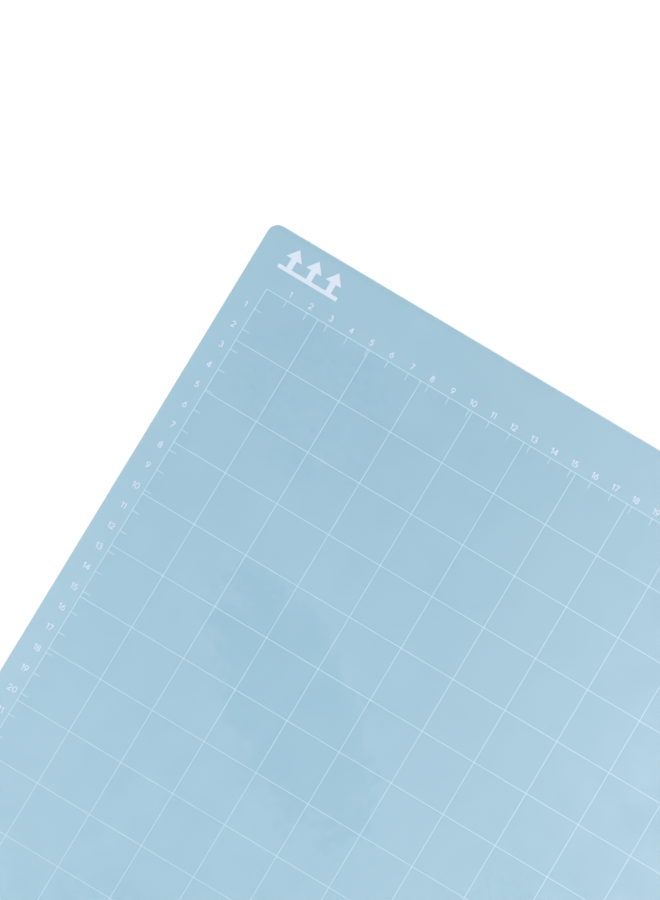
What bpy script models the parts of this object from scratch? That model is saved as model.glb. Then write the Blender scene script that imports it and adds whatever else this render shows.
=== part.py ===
"""Adhesive cutting mat for a desktop craft cutter: a thin plastic sheet with a printed inch grid and
centimetre scales, a tacky coat over the grid and a clear cover film that peels off.

Frame: origin under the middle of the mat on its underside, +X to the right, +Y towards the edge that
carries the arrows and is fed in first, +Z up. Units are metres.
"""

import math

import bpy
from mathutils import Vector
from mathutils.geometry import delaunay_2d_cdt

MM = 0.001
INCH = 0.0254

# Sheet outline
SHEET_WIDTH = 329.6 * MM
SHEET_LENGTH = 14 * INCH
CORNER_RADIUS = 4.5 * MM
CORNER_STEPS = 10

# Layers, from the table up, each a hair's breadth clear of the next
SHEET_THICKNESS = 0.80 * MM
INK_THICKNESS = 0.04 * MM
ADHESIVE_THICKNESS = 0.08 * MM
FILM_THICKNESS = 0.12 * MM
LAYER_GAP = 0.02 * MM

# Printed grid: its side margins are equal and its top margin is the wider one
GRID_CELLS = 12
GRID_PITCH = INCH
TOP_MARGIN = 26.4 * MM
LINE_WIDTH = 0.30 * MM
TICK_LENGTH = 3.3 * MM
CENTIMETRE = 10 * MM
HALF_INCH = INCH / 2

# Printed feed arrows, in the top margin over the grid's left corner
ARROW_COUNT = 3
MARK_WIDTH = 29.0 * MM
MARK_HEIGHT = 11.2 * MM
MARK_ABOVE_GRID = 10.4 * MM
MARK_LEFT_OF_GRID = 1.2 * MM
BAR_HEIGHT = 1.8 * MM
STEM_WIDTH = 2.6 * MM
HEAD_WIDTH = 7.6 * MM
HEAD_HEIGHT = 5.0 * MM

GRID_SPAN = GRID_CELLS * GRID_PITCH
GRID_LEFT = -GRID_SPAN / 2
GRID_TOP = SHEET_LENGTH / 2 - TOP_MARGIN
GRID_CENTRE = Vector((0.0, GRID_TOP - GRID_SPAN / 2))

INK_BOTTOM = SHEET_THICKNESS + LAYER_GAP
ADHESIVE_BOTTOM = INK_BOTTOM + INK_THICKNESS + LAYER_GAP
FILM_BOTTOM = ADHESIVE_BOTTOM + ADHESIVE_THICKNESS + LAYER_GAP

# Linear colours, roughness and metallic value
SHEET_LOOK = ((0.30, 0.52, 0.65, 1.0), 0.32, 0.0)
INK_LOOK = ((0.88, 0.92, 0.95, 1.0), 0.45, 0.0)
ADHESIVE_LOOK = ((0.62, 0.78, 0.86, 1.0), 0.22, 0.0)
FILM_LOOK = ((0.85, 0.93, 0.96, 1.0), 0.08, 0.0)


def clear_scene():
    for item in list(bpy.data.objects):
        bpy.data.objects.remove(item, do_unlink=True)


def new_collection(name):
    collection = bpy.data.collections.new(name)
    bpy.context.scene.collection.children.link(collection)
    return collection


def new_material(name, look):
    colour, roughness, metallic = look
    material = bpy.data.materials.new(name)
    material.use_nodes = True
    shader = material.node_tree.nodes["Principled BSDF"]
    shader.inputs["Base Color"].default_value = colour
    shader.inputs["Roughness"].default_value = roughness
    shader.inputs["Metallic"].default_value = metallic
    return material


def flat_sheet(name, outline, bottom, thickness, look, origin=Vector((0.0, 0.0))):
    """A flat layer cut to an outline, with its object's origin where it is wanted in plan."""
    curve = bpy.data.curves.new(name, "CURVE")
    curve.dimensions = "2D"
    curve.fill_mode = "BOTH"
    curve.extrude = thickness / 2
    curve.materials.append(new_material(name, look))
    spline = curve.splines.new("POLY")
    spline.points.add(len(outline) - 1)
    for point, place in zip(spline.points, outline):
        point.co = (*(place - origin), 0.0, 1.0)
    spline.use_cyclic_u = True
    layer = bpy.data.objects.new(name, curve)
    layer.location = (*origin, bottom + thickness / 2)
    PARTS.objects.link(layer)


def rectangle(centre, width, length):
    """The corners of a rectangle, from its top left one, clockwise."""
    half = Vector((width / 2, length / 2))
    signs = ((-1, 1), (1, 1), (1, -1), (-1, -1))
    return [centre + Vector((sx * half.x, sy * half.y)) for sx, sy in signs]


def rounded_rectangle(width, length, radius):
    """The sheet's outline, clockwise from its left side, with a quarter circle at each corner."""
    points = []
    for quarter, centre in enumerate(rectangle(Vector((0.0, 0.0)), width - 2 * radius, length - 2 * radius)):
        for step in range(CORNER_STEPS + 1):
            angle = math.pi - math.pi / 2 * (quarter + step / CORNER_STEPS)
            points.append(centre + radius * Vector((math.cos(angle), math.sin(angle))))
    return points


def ticks_between(start, end, spacing):
    """Distances past start of the scale ticks that stand between start and end along the border."""
    places = [index * spacing for index in range(1, math.ceil(GRID_SPAN / spacing))]
    return [place - start for place in places if start + LINE_WIDTH < place < end - LINE_WIDTH]


def notched_edge(start, end, distances):
    """One edge of an opening, walked clockwise, with a tick of ink standing in it at each distance."""
    along = (end - start).normalized()
    inward = Vector((along.y, -along.x))
    reach = (TICK_LENGTH - LINE_WIDTH / 2) * inward
    half = LINE_WIDTH / 2 * along
    points = [start]
    for distance in distances:
        middle = start + distance * along
        points += [middle - half, middle - half + reach, middle + half + reach, middle + half]
    return points


def cell_opening(column, row):
    """The clear area of one grid cell. Cells on the grid's rim hold the ticks of the scale beside them:
    centimetres along the top and left, half inches along the right and bottom."""
    middle = Vector((GRID_LEFT, GRID_TOP)) + GRID_PITCH * Vector((column + 0.5, -row - 0.5))
    side = GRID_PITCH - LINE_WIDTH
    corners = rectangle(middle, side, side)
    last = GRID_CELLS - 1
    across = (column * GRID_PITCH + LINE_WIDTH / 2, (column + 1) * GRID_PITCH - LINE_WIDTH / 2)
    down = (row * GRID_PITCH + LINE_WIDTH / 2, (row + 1) * GRID_PITCH - LINE_WIDTH / 2)
    top = ticks_between(*across, CENTIMETRE) if row == 0 else []
    right = ticks_between(*down, HALF_INCH) if column == last else []
    bottom = ticks_between(*across, HALF_INCH) if row == last else []
    left = ticks_between(*down, CENTIMETRE) if column == 0 else []
    bottom = [side - distance for distance in reversed(bottom)]
    left = [side - distance for distance in reversed(left)]
    points = []
    for index, distances in enumerate((top, right, bottom, left)):
        points += notched_edge(corners[index], corners[(index + 1) % 4], distances)
    return points


def build_carrier_sheet():
    outline = rounded_rectangle(SHEET_WIDTH, SHEET_LENGTH, CORNER_RADIUS)
    flat_sheet("carrier_sheet", outline, 0.0, SHEET_THICKNESS, SHEET_LOOK)


def build_printed_grid():
    """Border, inch lines and scale ticks as one film of ink: a square with an opening for each cell. The
    square and its openings are triangulated together, anticlockwise and in millimetres, and only the
    triangles that lie in the square alone are kept."""
    side = GRID_SPAN + LINE_WIDTH
    outlines = [rectangle(GRID_CENTRE, side, side)]
    for row in range(GRID_CELLS):
        outlines += [cell_opening(column, row) for column in range(GRID_CELLS)]
    points = []
    loops = []
    for outline in outlines:
        loops.append(list(range(len(points), len(points) + len(outline))))
        points += [point / MM for point in reversed(outline)]
    inside_outlines = 1
    points, _, triangles, _, _, owners = delaunay_2d_cdt(points, [], loops, inside_outlines, 1e-6)
    ink = [triangle for triangle, owner in zip(triangles, owners) if owner == [0]]

    mesh = bpy.data.meshes.new("printed_grid")
    mesh.from_pydata([(*(MM * point), 0.0) for point in points], [], ink)
    mesh.materials.append(new_material("printed_grid", INK_LOOK))
    grid = bpy.data.objects.new("printed_grid", mesh)
    grid.location = (0.0, 0.0, INK_BOTTOM)
    thickness = grid.modifiers.new("ink", "SOLIDIFY")
    thickness.thickness = INK_THICKNESS
    thickness.offset = 1.0
    PARTS.objects.link(grid)


def build_feed_arrows():
    """Arrows on a bar, pointing at the edge that goes into the machine first."""
    left = GRID_LEFT - MARK_LEFT_OF_GRID
    base = GRID_TOP + MARK_ABOVE_GRID
    right = left + MARK_WIDTH
    shoulder = base + MARK_HEIGHT - HEAD_HEIGHT
    points = [Vector((left, base + BAR_HEIGHT)), Vector((left, base))]
    points += [Vector((right, base)), Vector((right, base + BAR_HEIGHT))]
    pitch = MARK_WIDTH / ARROW_COUNT
    for index in reversed(range(ARROW_COUNT)):
        axis = left + (index + 0.5) * pitch
        points.append(Vector((axis + STEM_WIDTH / 2, base + BAR_HEIGHT)))
        points.append(Vector((axis + STEM_WIDTH / 2, shoulder)))
        points.append(Vector((axis + HEAD_WIDTH / 2, shoulder)))
        points.append(Vector((axis, base + MARK_HEIGHT)))
        points.append(Vector((axis - HEAD_WIDTH / 2, shoulder)))
        points.append(Vector((axis - STEM_WIDTH / 2, shoulder)))
        points.append(Vector((axis - STEM_WIDTH / 2, base + BAR_HEIGHT)))
    flat_sheet("feed_arrows", points, INK_BOTTOM, INK_THICKNESS, INK_LOOK)


def build_adhesive_layer():
    outline = rectangle(GRID_CENTRE, GRID_SPAN, GRID_SPAN)
    flat_sheet("adhesive_layer", outline, ADHESIVE_BOTTOM, ADHESIVE_THICKNESS, ADHESIVE_LOOK)


def build_cover_film():
    """The film peels about its edge by the arrows, so its object's origin lies on that edge."""
    outline = rounded_rectangle(SHEET_WIDTH, SHEET_LENGTH, CORNER_RADIUS)
    peel_edge = Vector((0.0, SHEET_LENGTH / 2))
    flat_sheet("cover_film", outline, FILM_BOTTOM, FILM_THICKNESS, FILM_LOOK, peel_edge)


clear_scene()
PARTS = new_collection("cutting_mat")
build_carrier_sheet()
build_printed_grid()
build_feed_arrows()
build_adhesive_layer()
build_cover_film()
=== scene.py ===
"""Looks of the adhesive cutting mat: blue sheet, white print, tacky coat and clear cover film, lying on a
pale table in soft studio light. Units are metres."""

import math

import bmesh
import bpy
from mathutils import Matrix, Vector, noise
from mathutils.geometry import delaunay_2d_cdt


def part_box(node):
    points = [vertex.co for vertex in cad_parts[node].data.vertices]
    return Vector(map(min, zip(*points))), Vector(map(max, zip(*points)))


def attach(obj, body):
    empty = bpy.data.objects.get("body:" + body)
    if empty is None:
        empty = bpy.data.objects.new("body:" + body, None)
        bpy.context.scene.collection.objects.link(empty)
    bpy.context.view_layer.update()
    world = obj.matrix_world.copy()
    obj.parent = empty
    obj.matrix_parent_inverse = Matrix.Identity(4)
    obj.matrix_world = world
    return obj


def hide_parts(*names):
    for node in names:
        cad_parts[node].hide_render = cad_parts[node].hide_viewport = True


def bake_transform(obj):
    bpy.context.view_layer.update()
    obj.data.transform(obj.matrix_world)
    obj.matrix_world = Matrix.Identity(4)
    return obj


MM = 0.001
INCH = 0.0254
CENTIMETRE = 0.01

# Sheet
CORNER_RADIUS = 4.5 * MM
CORNER_STEPS = 12
EDGE_BEVEL = 0.12 * MM
BEVEL_STEPS = 2

# Adhesive, bonded to the sheet
COAT_INTO_SHEET = 0.02 * MM
COAT_RIM_STEP = 4 * MM
COAT_RIM_WANDER = 0.15 * MM
COAT_RIM_BEVEL = 0.05 * MM
WANDERS_PER_METRE = 60

# Film: it curls over the stretch next to its peel edge, where its rows are close together
CURL_LENGTH = 60 * MM
FINE_ROW = 1.5 * MM
COARSE_ROW = 8 * MM
FILM_COLUMNS = 48
FILM_LIFT_ON_COAT = 0.02 * MM
FILM_LIFT_ON_MARGIN = 0.12 * MM
LIFT_SLOPE = 4 * MM
RIPPLES_PER_METRE = 24

# Patches where the film has wetted out on the adhesive: the middle, the half widths, the turn and the
# strength of each. Their edges fade out between two shares of the half widths
PATCH_FULL_WITHIN = 0.80
PATCH_GONE_PAST = 1.0
WETTED_PATCHES = (
    (Vector((-0.109, 0.119, 0.0)), (0.040, 0.032, 1.0), math.radians(-20), 0.35),
    (Vector((-0.052, 0.006, 0.0)), (0.062, 0.030, 1.0), math.radians(-35), 1.0),
    (Vector((0.082, -0.048, 0.0)), (0.036, 0.058, 1.0), math.radians(15), 0.45),
    (Vector((-0.070, -0.118, 0.0)), (0.048, 0.026, 1.0), math.radians(10), 0.3),
)

# Print: the grid's line width, and numerals made of strokes of flat ink with round ends
LINE_WIDTH = 0.30 * MM
NUMERAL_HEIGHT = 2.8 * MM
STROKE = 0.37 * MM
STROKE_GAP = 0.36 * MM
GLYPH_SCALE = NUMERAL_HEIGHT - STROKE
ROUND_END_STEPS = 10
HAIRLINE = 0.001 * MM
NEARLY_NOTHING = 1e-6
NUMERAL_ABOVE_BORDER = 3.3 * MM
NUMERAL_BESIDE_BORDER = 4.3 * MM
INK_RISE = 0.04 * MM
INK_INTO_SHEET = 0.01 * MM

# Studio
TABLE_RADIUS = 40.0
TABLE_BELOW_MAT = 0.2 * MM
SOFTBOX_HEIGHT = 2.3

# Camera: nearly straight down, turned so that the mat lies askew
LENS_MM = 181.15
CAMERA_PLACE = Vector((-0.01965, -0.0863, 1.9029))
CAMERA_AIM = Vector((-0.09415, 0.1064, 0.0))
PICTURE_TURN = math.radians(30.925)

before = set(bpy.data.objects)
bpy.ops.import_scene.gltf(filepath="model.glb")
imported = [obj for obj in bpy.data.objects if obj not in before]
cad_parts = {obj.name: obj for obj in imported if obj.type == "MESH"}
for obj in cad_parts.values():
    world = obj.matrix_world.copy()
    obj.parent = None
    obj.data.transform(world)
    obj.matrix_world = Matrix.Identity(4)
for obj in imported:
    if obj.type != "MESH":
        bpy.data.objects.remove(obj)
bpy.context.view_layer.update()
SHEET_LOW, SHEET_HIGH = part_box("carrier_sheet")
GRID_LOW, GRID_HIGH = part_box("printed_grid")
COAT_LOW, COAT_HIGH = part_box("adhesive_layer")
FILM_LOW, FILM_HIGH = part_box("cover_film")
BORDER_LEFT = GRID_LOW.x + LINE_WIDTH / 2
BORDER_RIGHT = GRID_HIGH.x - LINE_WIDTH / 2
BORDER_BOTTOM = GRID_LOW.y + LINE_WIDTH / 2
BORDER_TOP = GRID_HIGH.y - LINE_WIDTH / 2


# Node helpers

def new_material(name):
    material = bpy.data.materials.new(name)
    material.use_nodes = True
    material.node_tree.nodes.clear()
    return material, material.node_tree


def node(tree, kind, inputs=None, **settings):
    """A node with its settings, and its inputs set from numbers or joined to other nodes' sockets."""
    made = tree.nodes.new(kind)
    for key, value in settings.items():
        setattr(made, key, value)
    for key, value in (inputs or {}).items():
        if isinstance(value, bpy.types.NodeSocket):
            tree.links.new(value, made.inputs[key])
        else:
            made.inputs[key].default_value = value
    return made


def finish_material(tree, shader):
    node(tree, "ShaderNodeOutputMaterial", {"Surface": shader})


def place_on_object(tree, stretch=(1.0, 1.0, 1.0)):
    """The place on the object in metres, scaled along each axis."""
    coordinates = node(tree, "ShaderNodeTexCoord").outputs["Object"]
    return node(tree, "ShaderNodeMapping", {"Vector": coordinates, "Scale": stretch}).outputs[0]


def clouds(tree, vector, scale, detail=2.0, roughness=0.5, low=0.0, high=1.0, start=0.3, end=0.7):
    """Soft noise with its middle range spread from low to high."""
    made = node(tree, "ShaderNodeTexNoise",
                {"Vector": vector, "Scale": scale, "Detail": detail, "Roughness": roughness})
    spread = node(tree, "ShaderNodeMapRange",
                  {"Value": made.outputs[0], "From Min": start, "From Max": end,
                   "To Min": low, "To Max": high})
    return spread.outputs[0]


def blend_colours(tree, factor, first, second):
    made = node(tree, "ShaderNodeMix", data_type="RGBA")
    for socket, value in ((made.inputs[0], factor), (made.inputs[6], first), (made.inputs[7], second)):
        if isinstance(value, bpy.types.NodeSocket):
            tree.links.new(value, socket)
        else:
            socket.default_value = value
    return made.outputs[2]


def maths(tree, operation, first, second, third=0.0):
    return node(tree, "ShaderNodeMath", {0: first, 1: second, 2: third}, operation=operation).outputs[0]


def bump(tree, height, distance):
    return node(tree, "ShaderNodeBump", {"Height": height, "Distance": distance}).outputs[0]


def clear_gloss(tree, normal, face_on, grazing):
    """How much a clear layer's outer faces mirror, face on and at a grazing angle."""
    facing = node(tree, "ShaderNodeLayerWeight", {"Blend": 0.5, "Normal": normal}).outputs["Facing"]
    steepness = maths(tree, "POWER", facing, 5.0)
    mirrored = maths(tree, "MULTIPLY_ADD", steepness, grazing - face_on, face_on)
    inside = node(tree, "ShaderNodeNewGeometry").outputs["Backfacing"]
    return maths(tree, "MULTIPLY", mirrored, maths(tree, "SUBTRACT", 1.0, inside))


# Materials

def under_coat(tree, here):
    """1 under the adhesive's square and 0 past it."""
    middle = (COAT_LOW + COAT_HIGH) / 2
    half = (COAT_HIGH - COAT_LOW) / 2
    scaled = node(tree, "ShaderNodeMapping",
                  {"Vector": here, "Location": middle, "Scale": (half.x, half.y, 1.0)},
                  vector_type="TEXTURE").outputs[0]
    distance = node(tree, "ShaderNodeVectorMath", {0: scaled}, operation="ABSOLUTE").outputs["Vector"]
    across, along, _ = node(tree, "ShaderNodeSeparateXYZ", {"Vector": distance}).outputs
    return maths(tree, "LESS_THAN", maths(tree, "MAXIMUM", across, along), 1.0)


def wetted(tree, here):
    """0 to 1: the patches where the film has wetted out on the adhesive, with crinkled edges. They are even
    where the contact is full and speckled where it is partial."""
    crinkle = clouds(tree, here, 55.0, detail=6.0, roughness=0.68, low=-0.30, high=0.30)
    strands = clouds(tree, here, 230.0, detail=3.0, roughness=0.6, low=-0.14, high=0.14)
    crinkle = maths(tree, "ADD", crinkle, strands)
    total = 0.0
    for middle, radii, turn, strength in WETTED_PATCHES:
        mapped = node(tree, "ShaderNodeMapping",
                      {"Vector": here, "Location": middle, "Rotation": (0.0, 0.0, turn), "Scale": radii},
                      vector_type="TEXTURE").outputs[0]
        distance = node(tree, "ShaderNodeVectorMath", {0: mapped}, operation="LENGTH").outputs["Value"]
        ragged = maths(tree, "ADD", distance, crinkle)
        patch = node(tree, "ShaderNodeMapRange",
                     {"Value": ragged, "From Min": PATCH_FULL_WITHIN, "From Max": PATCH_GONE_PAST,
                      "To Min": strength, "To Max": 0.0})
        total = maths(tree, "MAXIMUM", total, patch.outputs[0])
    speckle = clouds(tree, here, 360.0, low=-2.4, high=2.4)
    partial = maths(tree, "SUBTRACT", 1.0, total)
    total = maths(tree, "MULTIPLY", total, maths(tree, "MULTIPLY_ADD", speckle, partial, 1.0))
    return maths(tree, "MULTIPLY", total, under_coat(tree, here))


def blue_sheet_material():
    """Satin plastic: slow drifts of tint, fine cloudiness, painted shade on the cut edge (a deeper blue
    standing in for light passing a long way through the plastic edge-on), and patches that look deeper where
    the film has wetted out on the adhesive over them."""
    material, tree = new_material("blue_sheet")
    here = place_on_object(tree)
    drift = clouds(tree, here, 7.0)
    tint = blend_colours(tree, drift, (0.325, 0.495, 0.590, 1.0), (0.337, 0.509, 0.605, 1.0))
    cloudy = clouds(tree, here, 160.0, low=0.0, high=0.06)
    tint = blend_colours(tree, cloudy, tint, (0.405, 0.630, 0.740, 1.0))
    grain = clouds(tree, here, 2200.0, detail=1.0, low=0.0, high=0.05)
    tint = blend_colours(tree, grain, tint, (0.250, 0.480, 0.640, 1.0))
    tint = blend_colours(tree, wetted(tree, here), tint, (0.296, 0.485, 0.583, 1.0))
    # Painted shade: the side faces of the cut edge get a deeper blue that stands in for light passing a long
    # way through the plastic.
    facing = node(tree, "ShaderNodeNewGeometry").outputs["Normal"]
    upward = node(tree, "ShaderNodeSeparateXYZ", {"Vector": facing}).outputs["Z"]
    painted_edge_shade = node(tree, "ShaderNodeMapRange",
                   {"Value": maths(tree, "ABSOLUTE", upward, 0.0), "From Min": 0.3, "From Max": 0.95,
                    "To Min": 1.0, "To Max": 0.0}).outputs[0]
    tint = blend_colours(tree, painted_edge_shade, tint, (0.085, 0.330, 0.500, 1.0))
    roughness = clouds(tree, here, 90.0, low=0.30, high=0.40)
    pebble = clouds(tree, here, 1400.0, detail=1.0)
    shader = node(tree, "ShaderNodeBsdfPrincipled",
                  {"Base Color": tint, "Roughness": roughness, "Specular IOR Level": 0.25,
                   "Normal": bump(tree, pebble, 0.004 * MM)})
    finish_material(tree, shader.outputs[0])
    return material


def ink_material(name, full, thin):
    """Screen-printed white, a little thin in places so that some blue shows through."""
    material, tree = new_material(name)
    here = place_on_object(tree)
    thinness = clouds(tree, here, 900.0)
    tint = blend_colours(tree, thinness, full, thin)
    roughness = clouds(tree, here, 1500.0, low=0.42, high=0.58)
    mesh_mark = clouds(tree, here, 4000.0, detail=1.0)
    shader = node(tree, "ShaderNodeBsdfPrincipled",
                  {"Base Color": tint, "Roughness": roughness, "Specular IOR Level": 0.25,
                   "Normal": bump(tree, mesh_mark, 0.004 * MM)})
    finish_material(tree, shader.outputs[0])
    return material


def tacky_coat_material():
    """Clear adhesive with faint streaks along its length, which deepens the blue a little."""
    material, tree = new_material("tacky_coat")
    here = place_on_object(tree)
    streaks = clouds(tree, place_on_object(tree, stretch=(60.0, 3.0, 1.0)), 3.0)
    passed = blend_colours(tree, streaks, (0.972, 0.986, 0.990, 1.0), (0.962, 0.979, 0.985, 1.0))
    lumps = clouds(tree, here, 420.0)
    normal = bump(tree, lumps, 0.02 * MM)
    see_through = node(tree, "ShaderNodeBsdfTransparent", {"Color": passed})
    gloss = node(tree, "ShaderNodeBsdfGlossy", {"Roughness": 0.28, "Normal": normal})
    mixed = node(tree, "ShaderNodeMixShader",
                 {0: clear_gloss(tree, normal, 0.004, 0.30), 1: see_through.outputs[0], 2: gloss.outputs[0]})
    finish_material(tree, mixed.outputs[0])
    return material


def clear_film_material():
    """Glossy clear film with a very faint tint, a little uneven."""
    material, tree = new_material("clear_film")
    here = place_on_object(tree)
    dull = clouds(tree, here, 60.0, low=0.20, high=0.27)
    waves = clouds(tree, here, 30.0)
    normal = bump(tree, waves, 0.03 * MM)
    see_through = node(tree, "ShaderNodeBsdfTransparent", {"Color": (0.958, 0.972, 0.980, 1.0)})
    gloss = node(tree, "ShaderNodeBsdfGlossy", {"Roughness": dull, "Normal": normal})
    mixed = node(tree, "ShaderNodeMixShader",
                 {0: clear_gloss(tree, normal, 0.055, 1.0), 1: see_through.outputs[0], 2: gloss.outputs[0]})
    finish_material(tree, mixed.outputs[0])
    return material


def film_edge_material():
    """The film's cut edge, which gathers light and so looks paler than its faces."""
    material, tree = new_material("film_edge")
    nicks = clouds(tree, place_on_object(tree), 700.0)
    tint = blend_colours(tree, nicks, (0.560, 0.680, 0.760, 1.0), (0.660, 0.760, 0.820, 1.0))
    shader = node(tree, "ShaderNodeBsdfPrincipled", {"Base Color": tint, "Roughness": 0.35})
    finish_material(tree, shader.outputs[0])
    return material


def table_material():
    """Pale matt table top with a faint mottle."""
    material, tree = new_material("table")
    here = place_on_object(tree)
    mottle = clouds(tree, here, 40.0)
    tint = blend_colours(tree, mottle, (0.870, 0.872, 0.875, 1.0), (0.885, 0.885, 0.887, 1.0))
    shader = node(tree, "ShaderNodeBsdfPrincipled", {"Base Color": tint, "Roughness": 0.75})
    finish_material(tree, shader.outputs[0])
    return material


# Meshes

def add_object(name, mesh, *materials):
    made = bpy.data.objects.new(name, mesh)
    made.data.materials.clear()
    for material in materials:
        made.data.materials.append(material)
    bpy.context.scene.collection.objects.link(made)
    return made


def give(node_name, material):
    """Puts a material on a solid that stays as the frame has it."""
    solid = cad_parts[node_name]
    solid.data.materials.clear()
    solid.data.materials.append(material)


def settled_mesh(made):
    """The mesh of an object with its modifiers carried out, in place of the object."""
    bpy.context.view_layer.update()
    evaluated = made.evaluated_get(bpy.context.evaluated_depsgraph_get())
    mesh = bpy.data.meshes.new_from_object(evaluated)
    bpy.data.objects.remove(made)
    return mesh


def raise_slab(shape, rise):
    """Turns a shape's flat faces into a closed slab that stands on them."""
    raised = bmesh.ops.extrude_face_region(shape, geom=shape.faces[:])["geom"]
    lifted = [item for item in raised if isinstance(item, bmesh.types.BMVert)]
    bmesh.ops.translate(shape, verts=lifted, vec=(0.0, 0.0, rise))
    bmesh.ops.recalc_face_normals(shape, faces=shape.faces)


def finish_mesh(shape, name):
    """The shape as a mesh, with the shape's memory given back."""
    mesh = bpy.data.meshes.new(name)
    shape.to_mesh(mesh)
    shape.free()
    return mesh


def half_width_at(distance, length, width):
    """Half the width of the rounded rectangle at a distance from its end."""
    into_corner = CORNER_RADIUS - min(distance, length - distance)
    if into_corner <= 0:
        return width / 2
    return width / 2 - CORNER_RADIUS + math.sqrt(max(CORNER_RADIUS**2 - into_corner**2, 0.0))


def rounded_outline(low, high):
    """The sheet's outline as points, with a quarter circle at each corner."""
    points = []
    for quarter in range(4):
        turn = math.pi / 2 * quarter
        right = quarter in (0, 3)
        top = quarter in (0, 1)
        centre = Vector((high.x - CORNER_RADIUS if right else low.x + CORNER_RADIUS,
                         high.y - CORNER_RADIUS if top else low.y + CORNER_RADIUS))
        for step in range(CORNER_STEPS + 1):
            angle = turn + math.pi / 2 * step / CORNER_STEPS
            points.append(centre + CORNER_RADIUS * Vector((math.cos(angle), math.sin(angle))))
    return points


def make_mat_sheet(material):
    """The blue sheet, die-cut, with its sharp edges just broken."""
    shape = bmesh.new()
    outline = rounded_outline(SHEET_LOW, SHEET_HIGH)
    shape.faces.new([shape.verts.new((*point, SHEET_LOW.z)) for point in outline])
    raise_slab(shape, SHEET_HIGH.z - SHEET_LOW.z)
    level = [edge for edge in shape.edges if abs(edge.verts[0].co.z - edge.verts[1].co.z) < HAIRLINE]
    bmesh.ops.bevel(shape, geom=level, offset=EDGE_BEVEL, segments=BEVEL_STEPS, profile=0.5, affect="EDGES")
    sheet = add_object("mat_sheet", finish_mesh(shape, "mat_sheet"), material)
    sheet.data.shade_smooth()
    sheet.data.set_sharp_from_angle(angle=math.radians(30))
    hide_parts("carrier_sheet")
    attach(sheet, "mat")


def coat_outline():
    """The adhesive's outline: a square whose sides wander a little inwards between its corners."""
    size = COAT_HIGH - COAT_LOW
    middle = (COAT_LOW + COAT_HIGH) / 2
    steps = round(size.x / COAT_RIM_STEP)
    points = []
    for side in range(4):
        turn = Matrix.Rotation(math.pi / 2 * side, 2)
        for step in range(steps):
            along = size.x * (step / steps - 0.5)
            place_in_noise = Vector((along * WANDERS_PER_METRE, side * 10.0, 0.0))
            wander = COAT_RIM_WANDER * abs(noise.noise(place_in_noise)) if step else 0.0
            points.append(middle.xy + turn @ Vector((-along, size.y / 2 - wander)))
    return points


def make_tacky_coat(material):
    """The adhesive as a low slab that bonds with the sheet, with a soft rim."""
    shape = bmesh.new()
    bottom = SHEET_HIGH.z - COAT_INTO_SHEET
    shape.faces.new([shape.verts.new((*point, bottom)) for point in coat_outline()])
    raise_slab(shape, COAT_HIGH.z - bottom)
    upper_rim = [edge for edge in shape.edges if all(vert.co.z > SHEET_HIGH.z for vert in edge.verts)]
    bmesh.ops.bevel(shape, geom=upper_rim, offset=COAT_RIM_BEVEL, segments=BEVEL_STEPS, profile=0.5,
                    affect="EDGES")
    coat = add_object("tacky_coat", finish_mesh(shape, "tacky_coat"), material)
    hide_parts("adhesive_layer")
    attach(coat, "mat")


def film_distances(length):
    """Distances of the film's rows from its peel edge: fine where it curls, and on the corner arcs."""
    corner = [CORNER_RADIUS * (1 - math.cos(math.pi / 2 * step / CORNER_STEPS))
              for step in range(CORNER_STEPS + 1)]
    rows = list(corner)
    while rows[-1] < CURL_LENGTH:
        rows.append(rows[-1] + FINE_ROW)
    straight_end = length - CORNER_RADIUS
    count = round((straight_end - rows[-1]) / COARSE_ROW)
    start = rows[-1]
    rows += [start + (straight_end - start) * step / count for step in range(1, count)]
    rows += [length - distance for distance in reversed(corner)]
    return rows


def film_lift(x, y):
    """The small gap under the film: hardly any on the coat and more on the bare margins."""
    inside_x = min(x - COAT_LOW.x, COAT_HIGH.x - x)
    inside_y = min(y - COAT_LOW.y, COAT_HIGH.y - y)
    on_coat = min(max(min(inside_x, inside_y) / LIFT_SLOPE + 0.5, 0.0), 1.0)
    lift = FILM_LIFT_ON_MARGIN + (FILM_LIFT_ON_COAT - FILM_LIFT_ON_MARGIN) * on_coat
    ripple = noise.noise(Vector((x, y, 0.0)) * RIPPLES_PER_METRE)
    return lift * (0.5 + 0.5 * ripple)


def make_film(face_material, edge_material):
    """The cover film as a thin closed sheet that can curl near its peel edge."""
    length = FILM_HIGH.y - FILM_LOW.y
    width = FILM_HIGH.x - FILM_LOW.x
    shape = bmesh.new()
    rows = []
    for distance in film_distances(length):
        y = FILM_HIGH.y - distance
        half = half_width_at(distance, length, width)
        row = []
        for column in range(FILM_COLUMNS + 1):
            x = half * (2 * column / FILM_COLUMNS - 1)
            row.append(shape.verts.new((x, y, FILM_LOW.z + film_lift(x, y))))
        rows.append(row)
    for above, below in zip(rows, rows[1:]):
        for column in range(FILM_COLUMNS):
            shape.faces.new((below[column], below[column + 1], above[column + 1], above[column]))
    film = add_object("film_surface", finish_mesh(shape, "film_sheet"), face_material, edge_material)
    thickness = film.modifiers.new("thickness", "SOLIDIFY")
    thickness.thickness = FILM_HIGH.z - FILM_LOW.z
    thickness.offset = 1.0
    thickness.material_offset_rim = 1
    film = add_object("film_sheet", settled_mesh(film), face_material, edge_material)
    film.data.shade_smooth()
    film.data.set_sharp_from_angle(angle=math.radians(30))
    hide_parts("cover_film")
    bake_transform(film)


# Numerals

def arc(centre, radii, start, end, steps=14):
    """Points on an ellipse from one angle to another, in degrees."""
    points = []
    for step in range(steps + 1):
        angle = math.radians(start + (end - start) * step / steps)
        points.append((centre[0] + radii[0] * math.cos(angle), centre[1] + radii[1] * math.sin(angle)))
    return points


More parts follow.
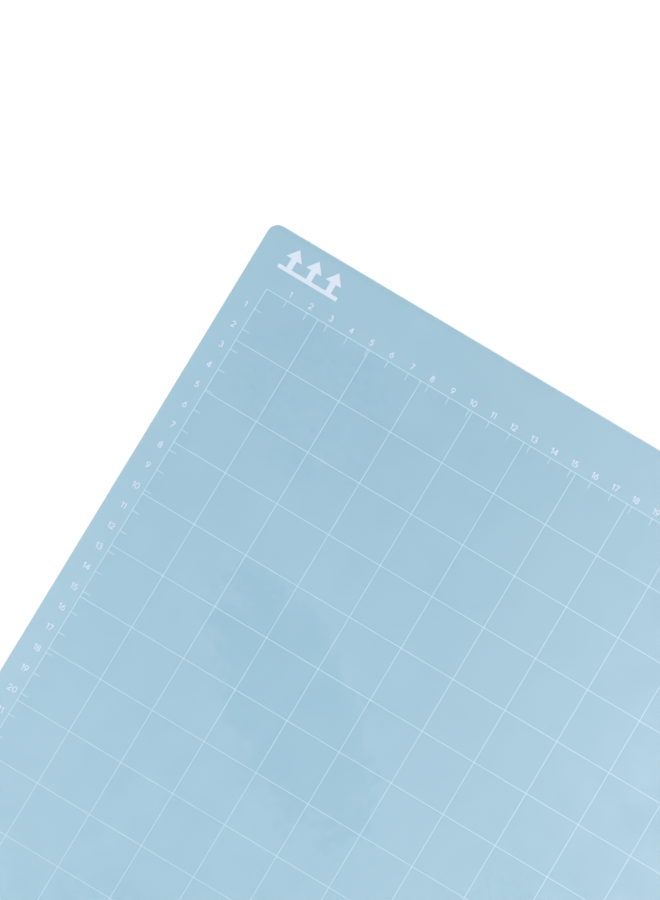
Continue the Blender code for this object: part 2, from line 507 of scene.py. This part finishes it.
def bend(first, pull, last, steps=8):
    """Points on a curve from first to last, drawn towards pull."""
    points = []
    for step in range(steps + 1):
        t = step / steps
        weights = ((1 - t) ** 2, 2 * t * (1 - t), t**2)
        points.append(tuple(sum(w * p[axis] for w, p in zip(weights, (first, pull, last)))
                            for axis in (0, 1)))
    return points


def loop(centre, radii):
    """Points right round an ellipse, from its top back to its top."""
    return arc(centre, radii, 90, 450, steps=20)


def legs(*corners):
    """Straight strokes from corner to corner."""
    return [list(pair) for pair in zip(corners, corners[1:])]


def digit_strokes():
    """For each digit its width and its strokes, on a stroke-centre height of 1."""
    six = [bend((0.47, 1.0), (0.05, 0.66), (0.0, 0.31)), loop((0.30, 0.31), (0.30, 0.31))]
    nine = [[(0.60 - x, 1.0 - y) for x, y in stroke] for stroke in six]
    return {
        "0": (0.66, [loop((0.33, 0.5), (0.33, 0.5))]),
        "1": (0.24, legs((0.0, 0.80), (0.24, 1.0), (0.24, 0.0))),
        "2": (0.60, [arc((0.29, 0.70), (0.28, 0.30), 165, -38) + [(0.0, 0.0)], [(0.0, 0.0), (0.60, 0.0)]]),
        "3": (0.58, [arc((0.27, 0.745), (0.25, 0.255), 150, -90),
                     arc((0.27, 0.25), (0.31, 0.25), 90, -150)]),
        "4": (0.66, legs((0.48, 0.0), (0.48, 1.0), (0.0, 0.27), (0.66, 0.27))),
        "5": (0.58, legs((0.52, 1.0), (0.10, 1.0), (0.05, 0.56))
              + [arc((0.27, 0.31), (0.30, 0.31), 125, -150)]),
        "6": (0.60, six),
        "7": (0.58, legs((0.0, 1.0), (0.58, 1.0), (0.18, 0.0))),
        "8": (0.60, [loop((0.30, 0.76), (0.25, 0.24)), loop((0.30, 0.26), (0.30, 0.26))]),
        "9": (0.60, nine),
    }


def stroke_patches(stroke):
    """A stroke's ink as anticlockwise outlines: one for each leg, and a disc at each loose end."""
    half = STROKE / 2 / GLYPH_SCALE
    middles = [Vector(point) for point in stroke]
    closed = (middles[0] - middles[-1]).length < NEARLY_NOTHING
    ends = (middles[-2], middles[1]) if closed else (middles[0], middles[-1])
    around = [ends[0], *middles, ends[1]]
    sides = []
    for before, middle, after in zip(around, middles, around[2:]):
        along = (after - before).normalized()
        across = half * Vector((-along.y, along.x))
        sides.append((middle - across, middle + across))
    patches = [(right, next_right, next_left, left)
               for (right, left), (next_right, next_left) in zip(sides, sides[1:])]
    for end in () if closed else ends:
        angles = [2 * math.pi * step / ROUND_END_STEPS for step in range(ROUND_END_STEPS)]
        patches.append([end + half * Vector((math.cos(angle), math.sin(angle))) for angle in angles])
    return patches


def merged_glyph(strokes):
    """A digit's strokes merged into one flat shape: its points and its triangles."""
    points = []
    outlines = []
    for stroke in strokes:
        for patch in stroke_patches(stroke):
            outlines.append(list(range(len(points), len(points) + len(patch))))
            points += patch
    inside_outlines = 1
    points, _, triangles, _, _, owners = delaunay_2d_cdt(points, [], outlines, inside_outlines,
                                                         NEARLY_NOTHING)
    return points, [triangle for triangle, owner in zip(triangles, owners) if owner]


def digit_places(number, middle, digits):
    """The digits of a whole number, each with its bottom left corner, so that the number is centred."""
    widths = [digits[digit][0] * GLYPH_SCALE for digit in str(number)]
    left = middle.x - (sum(widths) + (STROKE + STROKE_GAP) * (len(widths) - 1)) / 2
    places = []
    for digit, width in zip(str(number), widths):
        places.append((digit, Vector((left, middle.y - GLYPH_SCALE / 2))))
        left += width + STROKE + STROKE_GAP
    return places


def numeral_places():
    """Each number and the middle of its numeral: centimetres along the top and left, and inches along the
    bottom and right."""
    places = []
    for count in range(1, int((BORDER_RIGHT - BORDER_LEFT) / CENTIMETRE) + 1):
        along = count * CENTIMETRE
        places.append((count, Vector((BORDER_LEFT + along, BORDER_TOP + NUMERAL_ABOVE_BORDER))))
        places.append((count, Vector((BORDER_LEFT - NUMERAL_BESIDE_BORDER, BORDER_TOP - along))))
    for count in range(1, round((BORDER_RIGHT - BORDER_LEFT) / INCH) + 1):
        along = count * INCH
        places.append((count, Vector((BORDER_RIGHT - along, BORDER_BOTTOM - NUMERAL_ABOVE_BORDER))))
        places.append((count, Vector((BORDER_RIGHT + NUMERAL_BESIDE_BORDER, BORDER_BOTTOM + along))))
    return places


def make_numerals(material):
    """All numerals as one flat layer of ink on the sheet."""
    digits = digit_strokes()
    glyphs = {digit: merged_glyph(strokes) for digit, (_, strokes) in digits.items()}
    bottom = SHEET_HIGH.z - INK_INTO_SHEET
    shape = bmesh.new()
    for number, middle in numeral_places():
        for digit, corner in digit_places(number, middle, digits):
            points, triangles = glyphs[digit]
            corners = [shape.verts.new((*(corner + GLYPH_SCALE * point), bottom)) for point in points]
            for triangle in triangles:
                shape.faces.new([corners[index] for index in triangle])
    bmesh.ops.dissolve_degenerate(shape, dist=HAIRLINE, edges=shape.edges)
    raise_slab(shape, INK_INTO_SHEET + INK_RISE)
    # Extruding leaves this many faces in an order that varies from run to run.
    by_place = sorted(shape.faces, key=lambda face: face.calc_center_median()[:])
    for index, face in enumerate(by_place):
        face.index = index
    shape.faces.sort()
    numerals = add_object("scale_numerals", finish_mesh(shape, "scale_numerals"), material)
    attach(numerals, "mat")


# Studio

def make_table(material):
    bpy.ops.mesh.primitive_circle_add(vertices=96, radius=TABLE_RADIUS, fill_type="NGON",
                                      location=(0, 0, -TABLE_BELOW_MAT))
    table = bpy.context.object
    table.name = "table"
    table.data.materials.append(material)


def make_softbox(name, x, y, size, watts):
    """A level lamp that shines straight down."""
    light = bpy.data.lights.new(name, "AREA")
    light.shape = "RECTANGLE"
    light.size, light.size_y = size
    light.energy = watts
    lamp = bpy.data.objects.new(name, light)
    lamp.location = (x, y, SOFTBOX_HEIGHT)
    bpy.context.scene.collection.objects.link(lamp)


def make_sun(towards, strength, spread):
    """Broad, soft light from one side."""
    light = bpy.data.lights.new("broad_light", "SUN")
    light.energy = strength
    light.angle = spread
    lamp = bpy.data.objects.new("broad_light", light)
    lamp.rotation_euler = Vector(towards).to_track_quat("Z", "Y").to_euler()
    bpy.context.scene.collection.objects.link(lamp)


def make_world(horizon, zenith):
    """A plain white studio, brighter low down so that the table runs into its walls."""
    world = bpy.data.worlds.new("studio")
    world.use_nodes = True
    tree = world.node_tree
    direction = node(tree, "ShaderNodeTexCoord").outputs["Generated"]
    height = node(tree, "ShaderNodeSeparateXYZ", {"Vector": direction}).outputs["Z"]
    strength = node(tree, "ShaderNodeMapRange",
                    {"Value": height, "From Min": 0.0, "From Max": 0.5, "To Min": horizon, "To Max": zenith})
    background = tree.nodes["Background"]
    background.inputs["Color"].default_value = (1.0, 1.0, 1.0, 1.0)
    tree.links.new(strength.outputs[0], background.inputs["Strength"])
    bpy.context.scene.world = world


def make_camera():
    """The camera at its place, aimed, and turned about its line of sight."""
    data = bpy.data.cameras.new("camera")
    data.lens = LENS_MM
    data.sensor_width = 36.0
    data.clip_start, data.clip_end = 0.05, 100.0
    camera = bpy.data.objects.new("camera", data)
    back = (CAMERA_PLACE - CAMERA_AIM).normalized()
    picture_up = Vector((-math.sin(PICTURE_TURN), math.cos(PICTURE_TURN), 0.0))
    right = picture_up.cross(back).normalized()
    up = back.cross(right)
    turned = Matrix((right, up, back)).transposed()
    camera.matrix_world = Matrix.Translation(CAMERA_PLACE) @ turned.to_4x4()
    bpy.context.scene.collection.objects.link(camera)
    bpy.context.scene.camera = camera


bpy.context.scene.view_settings.view_transform = "Standard"
bold_ink = ink_material("bold_ink", full=(0.725, 0.755, 0.845, 1.0), thin=(0.680, 0.725, 0.820, 1.0))
fine_ink = ink_material("fine_ink", full=(0.615, 0.760, 0.860, 1.0), thin=(0.570, 0.730, 0.830, 1.0))
make_mat_sheet(blue_sheet_material())
give("printed_grid", fine_ink)
give("feed_arrows", bold_ink)
make_tacky_coat(tacky_coat_material())
make_numerals(bold_ink)
make_film(clear_film_material(), film_edge_material())
make_table(table_material())
make_world(horizon=1.02, zenith=0.642)
make_sun(towards=(-0.45, -0.35, 0.82), strength=1.6, spread=math.radians(30))
make_softbox("right_softbox", x=0.46, y=0.38, size=(0.7, 1.0), watts=8.5)
make_softbox("left_softbox", x=-0.62, y=-0.22, size=(0.6, 0.7), watts=2.5)
make_camera()
